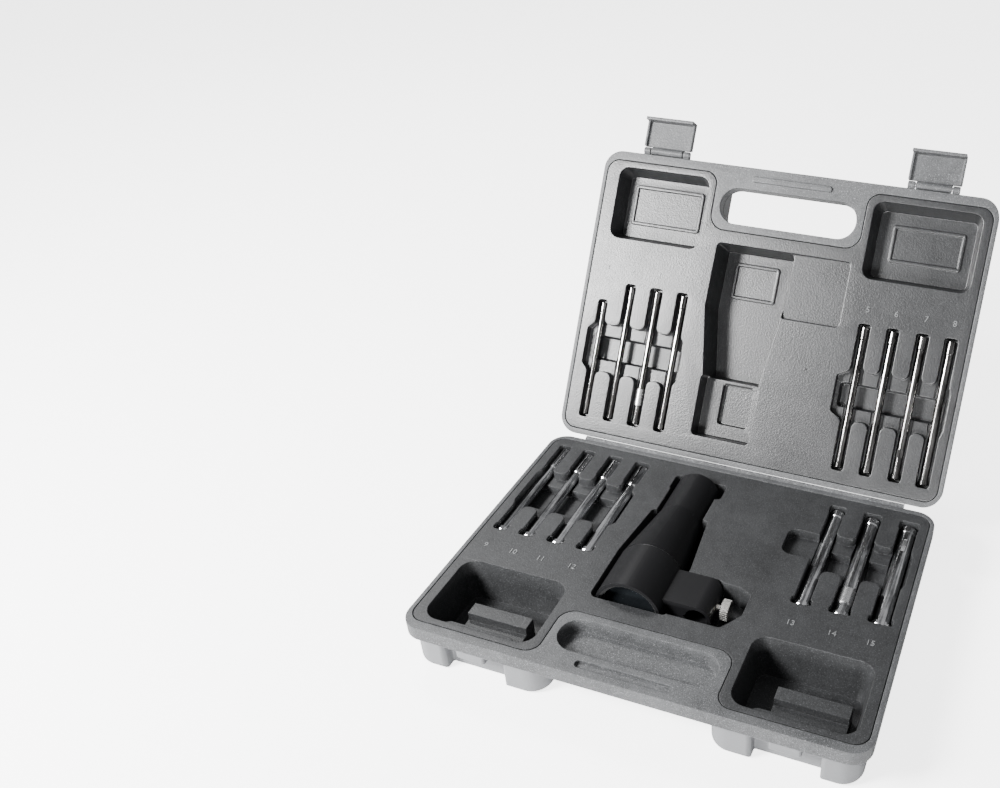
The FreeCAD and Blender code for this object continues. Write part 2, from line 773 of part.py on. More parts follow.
screw_axis = Vector(1, 0, 0)
head_x = block_end + screw_stand_off
screw_tip_x = head_x - screw_length
tapped_hole = Part.makeCylinder(screw_radius + screw_clearance, block_thickness / 2,
                                Vector(bore_centre.x, screw_y, -sight_drop), screw_axis)
barrel = ring(sight_front, barrel_end, barrel_radius, barrel_radius, 0, 0)
collimator_mount = joined([barrel, mount_block()])
collimator_mount = collimator_mount.cut(ring(sight_front, barrel_end, barrel_bore, barrel_bore, 0, 0))
collimator_mount = collimator_mount.cut(joined([arbor_bore(), tapped_hole]))
save("collimator_mount", collimator_mount, base_place)

seam_ring = ring(barrel_end, cone_start, barrel_radius - 0.3, barrel_radius - 0.3, barrel_bore, barrel_bore)
save("barrel_seam_ring", seam_ring, base_place)

spigot = barrel_bore - spigot_clearance
tube_outer = [(-seam_width - spigot_length, spigot), (0, spigot), (0, barrel_radius),
              (cone_length, tail_radius), (cone_length + tail_length, tail_radius)]
tube_inner = [(cone_length + tail_length, tail_radius - tube_wall), (cone_length, tail_radius - tube_wall),
              (0, spigot - tube_wall), (-seam_width - spigot_length, spigot - tube_wall)]
save("collimator_tube", turned(tube_outer + tube_inner, on_axis(cone_start), along), base_place)

cap_bore = tail_radius - tube_wall
cap_seat = cap_bore - cap_wall
cap_outer = [(-spigot_length, cap_bore - spigot_clearance), (0, cap_bore - spigot_clearance),
             (0, tail_radius), (cap_length - cap_chamfer, tail_radius),
             (cap_length, tail_radius - cap_chamfer)]
cap_inner = [(cap_length, cap_eye), (cap_length - cap_wall, cap_eye), (cap_length - cap_wall, cap_seat),
             (-spigot_length, cap_seat)]
save("rear_cap", turned(cap_outer + cap_inner, on_axis(cap_start), along), base_place)
window_end = sight_end - cap_wall
window_radius = cap_seat - spigot_clearance
rear_window = ring(window_end - window_thickness, window_end, window_radius, window_radius, 0, 0)
save("rear_window", rear_window, base_place)

ring_outer = barrel_bore - spigot_clearance
ring_inner = ring_outer - lens_ring_wall
lens_ring_profile = [(0.6, ring_inner + 1.2), (0.6, ring_outer), (lens_ring_length, ring_outer),
                     (lens_ring_length, ring_inner), (2.2, ring_inner), (2.2, ring_inner + 0.6),
                     (1.4, ring_inner + 0.6), (1.4, ring_inner + 1.2)]
save("lens_ring", turned(lens_ring_profile, on_axis(sight_front), along), base_place)
lens_start = sight_front + lens_ring_length
dome = []
for degrees in range(15, 105, 15):
    turn = math.radians(degrees)
    dome.append((lens_bulge * (1 - math.cos(turn)), ring_outer * math.sin(turn)))
lens_profile = [(0, 0)] + dome + [(lens_bulge + lens_thickness, ring_outer), (lens_bulge + lens_thickness, 0)]
save("objective_lens", turned(lens_profile, on_axis(lens_start), along), base_place)

reticle_y = tail_start + 8
reticle_outer = cap_bore - spigot_clearance
reticle_inner = reticle_outer - reticle_ring_wall
reticle_seat = [(0, reticle_inner), (0, reticle_outer), (reticle_ring_length, reticle_outer),
                (reticle_ring_length, reticle_inner + 1), (1, reticle_inner + 1), (1, reticle_inner)]
save("reticle_ring", turned(reticle_seat, on_axis(reticle_y), along), base_place)
disc = reticle_inner + 1 - spigot_clearance
save("reticle", ring(reticle_y + 1, reticle_y + 1 + reticle_thickness, disc, disc, 0, 0), base_place)


def thumb_screw():
    """Knurled head on a threaded shank, its thread cut as rings."""
    profile = [(0, 0), (0, screw_radius - thread_depth)]
    turns = int(screw_length / thread_pitch) - 2
    for turn in range(1, turns):
        root = turn * thread_pitch
        profile += [(root, screw_radius - thread_depth), (root + thread_pitch / 2, screw_radius)]
    rim = screw_head_radius - screw_chamfer
    end = screw_length + screw_head_length
    root = screw_radius - thread_depth
    profile += [(turns * thread_pitch, root), (screw_length, root),
                (screw_length, rim), (screw_length + screw_chamfer, screw_head_radius),
                (end - screw_chamfer, screw_head_radius), (end, rim), (end, 0)]
    screw = turned(profile, Vector(screw_tip_x, screw_y, -sight_drop), screw_axis)
    flutes = []
    for index in range(screw_knurls):
        angle = 2 * math.pi * index / screw_knurls
        centre = Vector(head_x - 0.1, screw_y + screw_head_radius * math.cos(angle),
                        -sight_drop + screw_head_radius * math.sin(angle))
        flutes.append(Part.makeCylinder(screw_knurl_depth, screw_head_length + 0.2, centre, screw_axis))
    return screw.cut(Part.makeCompound(flutes))


save("thumb_screw", thumb_screw(), base_place)
pad_start = Vector(screw_tip_x - pad_length, screw_y, -sight_drop)
pad_profile = [(0, 0), (0, pad_radius - pad_chamfer), (pad_chamfer, pad_radius), (pad_length, pad_radius),
               (pad_length, 0)]
save("clamp_pad", turned(pad_profile, pad_start, screw_axis), base_place)


# ---------------------------------------------------------------- arbors
def arbor_shape(arbor):
    """Turned arbor: front collar, shaft and rear collar."""
    number, x, start, length, shaft, front, rear, rear_length = arbor
    profile = [(0, 0), (0, front / 2 - tip_chamfer), (tip_chamfer, front / 2), (collar_length, front / 2),
               (collar_length + collar_slope, shaft / 2), (length - rear_length - collar_slope, shaft / 2),
               (length - rear_length, rear / 2), (length - tip_chamfer, rear / 2),
               (length, rear / 2 - tip_chamfer), (length, 0)]
    return turned(profile, Vector(x, start, -arbor_axis_depth(arbor)), along)


def split_end(arbor):
    """Saw cut that lets the rear end of an arbor spread."""
    number, x, start, length, shaft, front, rear, rear_length = arbor
    depth = arbor_axis_depth(arbor)
    return bar(x - split_width / 2, x + split_width / 2, start + length - split_length, start + length + 1,
               -depth - rear, -depth + rear)


def top_notch(arbor):
    """Shallow cut across the upper side of a shaft."""
    number, x, start, length, shaft = arbor[:5]
    depth = arbor_axis_depth(arbor)
    return bar(x - shaft, x + shaft, start + notch_start, start + notch_start + notch_length,
               -depth + shaft / 2 - notch_depth, -depth + shaft)


def collar_on(arbor, offset, length, thickness):
    """Tube round a shaft, starting at an offset from the arbor's front."""
    inner = arbor[4] / 2
    profile = [(0, inner), (0, inner + thickness), (length, inner + thickness), (length, inner)]
    return turned(profile, Vector(arbor[1], arbor[2] + offset, -arbor_axis_depth(arbor)), along)


def side_spring(arbor):
    """Flat leaf on the upper side of a shaft, bowed up in the middle."""
    top = -arbor_axis_depth(arbor) + arbor[4] / 2 - spring_seat
    x = arbor[1] - spring_width / 2
    start = arbor[2] + spring_start
    end = start + spring_length
    middle = (start + end) / 2
    bow = Part.Arc(Vector(x, start, top), Vector(x, middle, top + spring_rise), Vector(x, end, top)).toShape()
    chord = Part.LineSegment(Vector(x, end, top), Vector(x, start, top)).toShape()
    return Part.Face(Part.Wire([bow, chord])).extrude(Vector(spring_width, 0, 0))


def spring_flat(arbor):
    """Flat that the leaf lies on, cut into the upper side of a shaft."""
    x, start, shaft = arbor[1], arbor[2] + spring_start, arbor[4]
    return bar(x - shaft, x + shaft, start - spring_end_gap, start + spring_length + spring_end_gap,
               -arbor_axis_depth(arbor) + shaft / 2 - spring_seat, 0)


cuts = {number: split_end for number in split_arbors}
cuts[notched_arbor] = top_notch
cuts[sprung_arbor] = spring_flat
for arbors, place in ((lid_arbors, lid_place), (base_arbors, base_place)):
    for arbor in arbors:
        number = arbor[0]
        shape = arbor_shape(arbor)
        if number in cuts:
            shape = shape.cut(cuts[number](arbor))
        save("arbor_%02d" % number, shape, place)
        if number == sleeved_arbor:
            sleeve = collar_on(arbor, sleeve_start, sleeve_length, sleeve_wall)
            save("arbor_%02d_sleeve" % number, sleeve, place)
        if number == clipped_arbor:
            save("arbor_%02d_clip" % number, collar_on(arbor, clip_start, clip_length, clip_wall), place)
        if number == sprung_arbor:
            save("arbor_%02d_leaf" % number, side_spring(arbor), place)
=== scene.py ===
"""Looks of the alignment-sight kit: moulded case, collimator, arbors, finishes, light and camera."""
import logging
import math
from dataclasses import dataclass, field
from enum import Enum
from typing import Any, Mapping, Optional, Sequence, Union

import bmesh
import bpy
from mathutils import Matrix, Vector


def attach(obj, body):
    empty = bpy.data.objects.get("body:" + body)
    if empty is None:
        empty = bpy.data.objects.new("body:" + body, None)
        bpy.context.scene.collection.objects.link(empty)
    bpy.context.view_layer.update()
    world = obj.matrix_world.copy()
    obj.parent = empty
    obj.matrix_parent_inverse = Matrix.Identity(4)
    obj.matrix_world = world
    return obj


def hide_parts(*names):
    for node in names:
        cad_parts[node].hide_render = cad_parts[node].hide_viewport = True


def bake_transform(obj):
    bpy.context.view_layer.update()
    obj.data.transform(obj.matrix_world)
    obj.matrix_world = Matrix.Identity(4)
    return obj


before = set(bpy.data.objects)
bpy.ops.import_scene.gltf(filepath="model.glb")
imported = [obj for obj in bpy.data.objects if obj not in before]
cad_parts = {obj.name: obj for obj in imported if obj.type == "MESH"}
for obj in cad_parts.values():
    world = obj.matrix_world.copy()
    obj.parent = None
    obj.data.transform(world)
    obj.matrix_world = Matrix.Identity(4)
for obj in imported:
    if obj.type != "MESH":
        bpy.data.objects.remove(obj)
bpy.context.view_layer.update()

log = logging.getLogger("kit")
MM = 0.001
Colour = tuple[float, float, float, float]


class Body(Enum):
    BASE = "base"
    LID = "lid"
    LATCH_LEFT = "latch_left_body"
    LATCH_RIGHT = "latch_right_body"


# ------------------------------------------------------------------------------ shader graph
class Value:
    """One number socket in a node tree, with the sums written as Python operators."""

    def __init__(self, graph: "Graph", socket: bpy.types.NodeSocket) -> None:
        """Wraps a socket.

        Args:
            graph: The graph that the socket belongs to.
            socket: The output socket that carries the number.
        """
        self.graph = graph
        self.socket = socket

    def _join(self, operation: str, left: Any, right: Any) -> "Value":
        """Adds one Math node for two operands and returns its result."""
        node = self.graph.node("ShaderNodeMath", {"operation": operation}, {0: left, 1: right})
        return Value(self.graph, node.outputs[0])

    def __add__(self, other: Any) -> "Value":
        """Sum."""
        return self._join("ADD", self, other)

    def __sub__(self, other: Any) -> "Value":
        """Difference."""
        return self._join("SUBTRACT", self, other)

    def __rsub__(self, other: Any) -> "Value":
        """Difference with the socket second."""
        return self._join("SUBTRACT", other, self)

    def __mul__(self, other: Any) -> "Value":
        """Product."""
        return self._join("MULTIPLY", self, other)

    def above(self, low: float, high: float) -> "Value":
        """Rises smoothly from 0 at low to 1 at high."""
        node = self.graph.node("ShaderNodeMapRange", {"interpolation_type": "SMOOTHSTEP"},
                               {0: self, 1: low, 2: high, 3: 0.0, 4: 1.0})
        return Value(self.graph, node.outputs[0])


Input = Union[float, Sequence[float], Value, bpy.types.NodeSocket]


class Graph:
    """A material's node tree with short ways to add nodes."""

    def __init__(self, name: str) -> None:
        """Starts an empty material.

        Args:
            name: Name of the material.
        """
        self.material = bpy.data.materials.new(name)
        self.material.use_nodes = True
        self.tree = self.material.node_tree
        self.tree.nodes.clear()
        self.place = self.node("ShaderNodeTexCoord", {}, {}).outputs["Object"]

    def node(self, kind: str, settings: Mapping[str, Any], inputs: Mapping[Any, Input]) -> bpy.types.Node:
        """Adds a node, sets it, and then fills its sockets.

        Args:
            kind: Blender's type name of the node.
            settings: Properties of the node.
            inputs: Socket name or number to a value, a link or a Value.

        Returns:
            The new node.
        """
        made = self.tree.nodes.new(kind)
        for key, setting in settings.items():
            setattr(made, key, setting)
        for key, given in inputs.items():
            socket = made.inputs[key]
            if isinstance(given, Value):
                self.tree.links.new(given.socket, socket)
            elif isinstance(given, bpy.types.NodeSocket):
                self.tree.links.new(given, socket)
            else:
                socket.default_value = given
        return made

    def stretched(self, scale: Sequence[float]) -> bpy.types.NodeSocket:
        """Object coordinates scaled apart along each axis."""
        return self.node("ShaderNodeMapping", {}, {"Vector": self.place, "Scale": tuple(scale)}).outputs[0]

    def seen(self) -> Value:
        """1 where the camera looks straight at the surface, 0 for light that bounces off it."""
        return Value(self, self.node("ShaderNodeLightPath", {}, {}).outputs["Is Camera Ray"])

    def height(self) -> Value:
        """Height of the point above the ground, in metres."""
        return Value(self, self.node("ShaderNodeSeparateXYZ", {}, {0: self.place}).outputs[2])

    def noise(self, size: float, detail: float = 3.0, rough: float = 0.55,
              place: Optional[bpy.types.NodeSocket] = None) -> Value:
        """Noise with features of a given size.

        Args:
            size: Size of a feature in metres.
            detail: Octaves of detail.
            rough: How strong the finer octaves are.
            place: Coordinates, or None for the object's own.

        Returns:
            The noise, from 0 to 1.
        """
        made = self.node("ShaderNodeTexNoise", {}, {"Vector": place or self.place, "Scale": 1.0 / size,
                                                    "Detail": detail, "Roughness": rough})
        return Value(self, made.outputs[0])

    def cells(self, size: float) -> Value:
        """Distance inside Voronoi cells of a given size in metres."""
        made = self.node("ShaderNodeTexVoronoi", {"feature": "F1"},
                         {"Vector": self.place, "Scale": 1.0 / size})
        return Value(self, made.outputs["Distance"])

    def blend(self, mask: Input, dark: Input, light: Input) -> bpy.types.NodeSocket:
        """Mixes two colours by a mask."""
        made = self.node("ShaderNodeMix", {"data_type": "RGBA"}, {0: mask, 6: dark, 7: light})
        return made.outputs[2]

    def bump(self, height: Value, strength: float, depth: float,
             under: Optional[bpy.types.NodeSocket] = None) -> bpy.types.NodeSocket:
        """Bump from a height.

        Args:
            height: Height mask.
            strength: Strength of the effect.
            depth: Height of a full step in metres.
            under: Normal to lay the bump on.

        Returns:
            The bumped normal.
        """
        inputs: dict[Any, Input] = {"Height": height, "Strength": strength, "Distance": depth}
        if under is not None:
            inputs["Normal"] = under
        return self.node("ShaderNodeBump", {}, inputs).outputs[0]

    def surface(self, inputs: Mapping[Any, Input]) -> bpy.types.Material:
        """Ends the tree in one Principled shader and returns the material."""
        shader = self.node("ShaderNodeBsdfPrincipled", {}, inputs)
        self.node("ShaderNodeOutputMaterial", {}, {"Surface": shader.outputs[0]})
        return self.material


# ------------------------------------------------------------------------------ finishes
@dataclass(frozen=True)
class PebbledPlastic:
    """Moulded polyethylene with a pebbled skin, grain and pale scuffs; bright flecks are painted into its
    colour as painted glints off the pebbles, and below a set height the colour is painted paler, painted
    light for the front-lit lower walls.
    """

    name: str
    dark: Colour
    light: Colour
    grain: float = 0.55 * MM
    roughness: float = 0.46
    scuffs: float = 0.5
    flecks: float = 0.8
    gloss: float = 0.36
    pale_below: float = -1.0
    paleness: float = 0.0

    def make(self) -> bpy.types.Material:
        """Builds the material."""
        graph = Graph(self.name)
        grain = graph.noise(self.grain, 2.0, 0.6)
        pebble = graph.cells(self.grain * 2.0)
        patch = graph.noise(34 * MM, 4.0, 0.6)
        cloud = graph.noise(6 * MM, 3.0, 0.6)
        # Bright flecks painted into the colour: painted glints off the pebbled skin.
        glint_mask = graph.noise(self.grain * 1.1, 1.0, 0.4).above(0.63, 0.72)
        scratch_place = graph.stretched((1.0, 0.05, 1.0))
        cross_place = graph.stretched((0.06, 1.0, 0.6))
        scratch = graph.noise(0.9 * MM, 1.0, 0.3, scratch_place).above(0.70, 0.78)
        cross = graph.noise(1.1 * MM, 1.0, 0.3, cross_place).above(0.72, 0.80)
        where = graph.noise(15 * MM, 2.0, 0.5).above(0.5, 0.68)
        marks = (scratch + cross) * where * self.scuffs
        # Below a set height the colour is painted paler: painted light standing in for the front light on
        # the lower walls.
        painted_wall_light = graph.height().above(self.pale_below + 0.5 * MM, self.pale_below - 0.5 * MM) * self.paleness
        tone = (patch - 0.5) * 0.4 + (cloud - 0.5) * 0.25 + (grain - 0.5) * 0.9 + 0.36
        tone = tone + glint_mask * self.flecks + marks * 0.5 + painted_wall_light
        colour = graph.blend(tone, self.dark, self.light)
        rough = (patch - 0.5) * 0.14 + self.roughness + (grain - 0.5) * 0.12 - marks * 0.1
        coarse = graph.bump(patch, 0.16, 0.5 * MM)
        skin = graph.bump(pebble * 0.6 + grain * 0.6, 0.6, 0.16 * MM, coarse)
        return graph.surface({"Base Color": colour, "Roughness": rough, "Normal": skin,
                              "Specular IOR Level": self.gloss})


@dataclass(frozen=True)
class AnodisedBlack:
    """Bead-blasted black anodising, with fine bright specks painted into its colour as painted glints."""

    name: str
    dark: Colour = (0.004, 0.004, 0.0045, 1.0)
    light: Colour = (0.012, 0.012, 0.013, 1.0)
    roughness: float = 0.42
    sparkle: float = 0.8

    def make(self) -> bpy.types.Material:
        """Builds the material."""
        graph = Graph(self.name)
        blast = graph.noise(0.22 * MM, 2.0, 0.6)
        # Fine bright specks painted into the colour: painted glints off the blasted surface.
        glint_speck = graph.noise(0.45 * MM, 1.0, 0.4).above(0.70, 0.78)
        patch = graph.noise(20 * MM, 3.0, 0.6)
        rub = graph.noise(3.0 * MM, 3.0, 0.7, graph.stretched((1.0, 0.12, 1.0))).above(0.62, 0.78)
        tone = (blast - 0.5) * 0.7 + 0.3 + glint_speck * self.sparkle + rub * 0.12
        colour = graph.blend(tone, self.dark, self.light)
        rough = (patch - 0.5) * 0.12 + self.roughness - rub * 0.08
        skin = graph.bump(blast, 0.35, 0.05 * MM)
        return graph.surface({"Base Color": colour, "Roughness": rough, "Normal": skin, "Metallic": 0.0,
                              "Specular IOR Level": 0.2})


@dataclass(frozen=True)
class TurnedSteel:
    """Turned and polished steel with fine rings, drawn scratches and oil stains, and bright streaks along it
    painted into its colour as painted reflection.
    """

    name: str
    dark: Colour = (0.05, 0.052, 0.055, 1.0)
    light: Colour = (0.95, 0.95, 0.96, 1.0)
    roughness: float = 0.14
    stretch: tuple[float, float, float] = (1.0, 0.04, 0.04)
    tone: float = 0.1

    def make(self) -> bpy.types.Material:
        """Builds the material."""
        graph = Graph(self.name)
        drawn = graph.noise(0.35 * MM, 2.0, 0.6, graph.stretched(self.stretch))
        rings = graph.noise(0.5 * MM, 1.0, 0.5, graph.stretched((0.02, 1.0, 1.0)))
        stain = graph.noise(9 * MM, 4.0, 0.65)
        # Bright streaks along the axis painted into the colour: painted reflection lines.
        reflection_streak = graph.noise(1.6 * MM, 2.0, 0.5, graph.stretched(self.stretch)).above(0.38, 0.62)
        tone = (drawn - 0.5) * 0.4 + (rings - 0.5) * 0.2
        tone = tone + stain.above(0.25, 0.7) * 0.3 + reflection_streak * 0.6 + self.tone
        colour = graph.blend(tone, self.dark, self.light)
        rough = (drawn - 0.5) * 0.16 + (0.6 - stain) * 0.12 + self.roughness
        skin = graph.bump(rings + drawn * 0.5, 0.12, 0.03 * MM)
        return graph.surface({"Base Color": colour, "Roughness": rough, "Normal": skin, "Metallic": 1.0})


@dataclass(frozen=True)
class NickelPlate:
    """Bright nickel with soft pits and a warm cast."""

    name: str
    dark: Colour = (0.62, 0.60, 0.56, 1.0)
    light: Colour = (0.93, 0.92, 0.89, 1.0)
    roughness: float = 0.22

    def make(self) -> bpy.types.Material:
        """Builds the material."""
        graph = Graph(self.name)
        pits = graph.noise(0.5 * MM, 3.0, 0.6)
        cast = graph.noise(5 * MM, 3.0, 0.6)
        colour = graph.blend((cast - 0.5) * 0.9 + 0.55 + (pits - 0.5) * 0.3, self.dark, self.light)
        rough = (pits - 0.5) * 0.2 + self.roughness
        return graph.surface({"Base Color": colour, "Roughness": rough, "Metallic": 1.0,
                              "Normal": graph.bump(pits, 0.15, 0.04 * MM)})


@dataclass(frozen=True)
class CoatedGlass:
    """Dark coated lens, smooth, with a little dust on it."""

    name: str
    dark: Colour = (0.004, 0.005, 0.006, 1.0)
    light: Colour = (0.05, 0.055, 0.06, 1.0)

    def make(self) -> bpy.types.Material:
        """Builds the material."""
        graph = Graph(self.name)
        dust = graph.noise(0.7 * MM, 1.0, 0.4).above(0.74, 0.80)
        haze = graph.noise(8 * MM, 3.0, 0.5)
        colour = graph.blend(dust * 0.8 + haze * 0.15, self.dark, self.light)
        rough = dust * 0.4 + haze * 0.05 + 0.03
        return graph.surface({"Base Color": colour, "Roughness": rough, "Coat Weight": 0.6,
                              "Specular IOR Level": 0.8})


@dataclass(frozen=True)
class PaleFloor:
    """Plain pale paper floor."""

    name: str
    shade: float = 0.94
    glow: float = 3.4

    def make(self) -> bpy.types.Material:
        """Builds the material."""
        graph = Graph(self.name)
        fibre = graph.noise(60 * MM, 2.0, 0.5)
        low = (self.shade * 0.985,) * 3 + (1.0,)
        high = (self.shade,) * 3 + (1.0,)
        return graph.surface({"Base Color": graph.blend(fibre, low, high), "Roughness": 0.9,
                              "Emission Color": graph.blend(graph.seen(), (0, 0, 0, 1), (1, 1, 1, 1)),
                              "Emission Strength": self.glow})


@dataclass(frozen=True)
class Finishes:
    shell: bpy.types.Material
    tray: bpy.types.Material
    lid_tray: bpy.types.Material
    film: bpy.types.Material
    marks: bpy.types.Material
    anodised: bpy.types.Material
    ring: bpy.types.Material
    seam: bpy.types.Material
    glass: bpy.types.Material
    nickel: bpy.types.Material
    nylon: bpy.types.Material
    arbor: bpy.types.Material
    lid_arbor: bpy.types.Material
    bright: bpy.types.Material
    pin: bpy.types.Material

    @classmethod
    def build(cls) -> "Finishes":
        return cls(
            # The shell is the tray's plastic painted lighter, painted light for the front-lit outer walls,
            # and painted paler still on the walls below 23.2 mm.
            shell=PebbledPlastic("shell_plastic", (0.009, 0.0092, 0.0095, 1), (0.15, 0.153, 0.158, 1),
                                 pale_below=0.0232, paleness=0.85).make(),
            tray=PebbledPlastic("tray_plastic", (0.0018, 0.0019, 0.002, 1), (0.06, 0.0615, 0.064, 1)).make(),
            # The lid's tray is the base tray's plastic painted darker: painted shade that offsets the
            # stronger light on the tilted lid face.
            lid_tray=PebbledPlastic("lid_plastic_shaded", (0.0015, 0.0016, 0.0018, 1), (0.035, 0.036, 0.038, 1),
                                    roughness=0.36, gloss=0.6).make(),
            film=PebbledPlastic("film_plastic", (0.02, 0.021, 0.022, 1), (0.18, 0.183, 0.188, 1),
                                1.2 * MM, 0.38, 0.2).make(),
            marks=PebbledPlastic("mark_plastic", (0.04, 0.041, 0.042, 1), (0.30, 0.305, 0.31, 1),
                                 0.4 * MM, 0.34, 0.2).make(),
            anodised=AnodisedBlack("black_anodised").make(),
            ring=AnodisedBlack("black_ring", (0.006, 0.006, 0.006, 1), (0.10, 0.10, 0.10, 1),
                               roughness=0.30, sparkle=0.9).make(),
            seam=TurnedSteel("seam_steel", (0.05, 0.05, 0.05, 1), (0.32, 0.32, 0.33, 1), 0.35).make(),
            glass=CoatedGlass("coated_glass").make(),
            nickel=NickelPlate("bright_nickel").make(),
            nylon=PebbledPlastic("natural_nylon", (0.55, 0.53, 0.47, 1), (0.78, 0.76, 0.70, 1),
                                 0.6 * MM, 0.4, 0.1).make(),
            # Two copies of one steel: the base arbors' steel runs up to near white as painted highlight, and
            # the lid arbors' steel is painted darker as painted reflection of their dark surroundings.
            arbor=TurnedSteel("arbor_steel").make(),
            lid_arbor=TurnedSteel("lid_arbor_steel", (0.03, 0.028, 0.027, 1), (0.46, 0.45, 0.44, 1),
                                  tone=0.0).make(),
            bright=NickelPlate("bright_tube", (0.7, 0.7, 0.7, 1), (0.97, 0.97, 0.97, 1), 0.28).make(),
            pin=TurnedSteel("pin_steel", (0.22, 0.22, 0.23, 1), (0.6, 0.6, 0.62, 1), 0.3).make(),
        )


# ------------------------------------------------------------------------------ mesh helpers
def piece(name: str, mesh: bmesh.types.BMesh, body: Body, material: bpy.types.Material,
          replaces: Sequence[str] = (), rides: bool = True) -> bpy.types.Object:
    """Turns a bmesh into a dressed piece that rides on a body.

    Args:
        name: Name of the piece.
        mesh: The finished shape, in metres; it is freed.
        body: Body that the piece moves with.
        material: Its finish.
        replaces: Nodes that the piece stands for.
        rides: Whether it rides on the body, or is left unattached for the caller.

    Returns:
        The new object.
    """
    data = bpy.data.meshes.new(name)
    mesh.to_mesh(data)
    mesh.free()
    made = bpy.data.objects.new(name, data)
    bpy.context.scene.collection.objects.link(made)
    data.materials.append(material)
    if rides:
        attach(made, body.value)
    if replaces:
        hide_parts(*replaces)
    log.info("piece %s: %d faces on %s", name, len(data.polygons), body.value)
    return made


def dress(node: str, material: bpy.types.Material) -> None:
    """Gives a node's own mesh a finish."""
    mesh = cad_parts[node].data
    mesh.materials.clear()
    mesh.materials.append(material)
    log.info("finish %s on %s", material.name, node)


@dataclass(frozen=True)
class SoftEdges:
    """Rounds the sharp edges of a copy of a node, as a mould does."""

    width: float = 0.45 * MM
    segments: int = 2
    sharp_degrees: float = 32.0
    flat_degrees: float = 0.5
    merge_distance: float = 0.002 * MM

    def copy_of(self, node: str) -> bmesh.types.BMesh:
        """Copies a node's mesh, merges it and rounds its sharp edges.

        Args:
            node: Name of the node.

        Returns:
            The rounded copy.
        """
        mesh = bmesh.new()
        mesh.from_mesh(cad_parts[node].data)
        bmesh.ops.remove_doubles(mesh, verts=mesh.verts[:], dist=self.merge_distance)
        bmesh.ops.dissolve_limit(mesh, angle_limit=math.radians(self.flat_degrees),
                                 use_dissolve_boundaries=False, verts=mesh.verts[:],
                                 edges=mesh.edges[:], delimit=set())
        limit = math.radians(self.sharp_degrees)
        sharp = [edge for edge in mesh.edges
                 if len(edge.link_faces) == 2 and edge.calc_face_angle(0.0) > limit]
        bmesh.ops.bevel(mesh, geom=sharp, offset=self.width, offset_type="OFFSET", affect="EDGES",
                        segments=self.segments, profile=0.5, material=-1, clamp_overlap=False)
        bmesh.ops.triangulate(mesh, faces=[face for face in mesh.faces if len(face.verts) > 4])
        for face in mesh.faces:
            face.smooth = True
        return mesh


def shade_by_angle(item: bpy.types.Object, degrees: float = 28.0) -> None:
    """Keeps edges sharper than an angle crisp and the rest smooth."""
    mesh = item.data
    limit = math.radians(degrees)
    work = bmesh.new()
    work.from_mesh(mesh)
    for face in work.faces:
        face.smooth = True
    for edge in work.edges:
        edge.smooth = len(edge.link_faces) == 2 and edge.calc_face_angle(0.0) < limit
    work.to_mesh(mesh)
    work.free()
    weighted = item.modifiers.new("weighted", "WEIGHTED_NORMAL")
    weighted.keep_sharp = True
    weighted.weight = 100


# ------------------------------------------------------------------------------ case
@dataclass(frozen=True)
class LidFace:
    """The plane of the open lid's rim face, its origin in the middle of its hinge edge."""

    tilt_degrees: float = 58.0
    hinge: tuple[float, float, float] = (0.0, 97.5 * MM, 32.2 * MM)
    edge: tuple[float, float, float] = (0.0, 1.5 * MM, -0.2 * MM)

    @classmethod
    def matrix(cls) -> Matrix:
        """Carries a point of the flat lid to where the open lid stands."""
        turn = Matrix.Rotation(math.radians(cls.tilt_degrees), 4, "X")
        return Matrix.Translation(cls.hinge) @ turn @ Matrix.Translation(cls.edge)


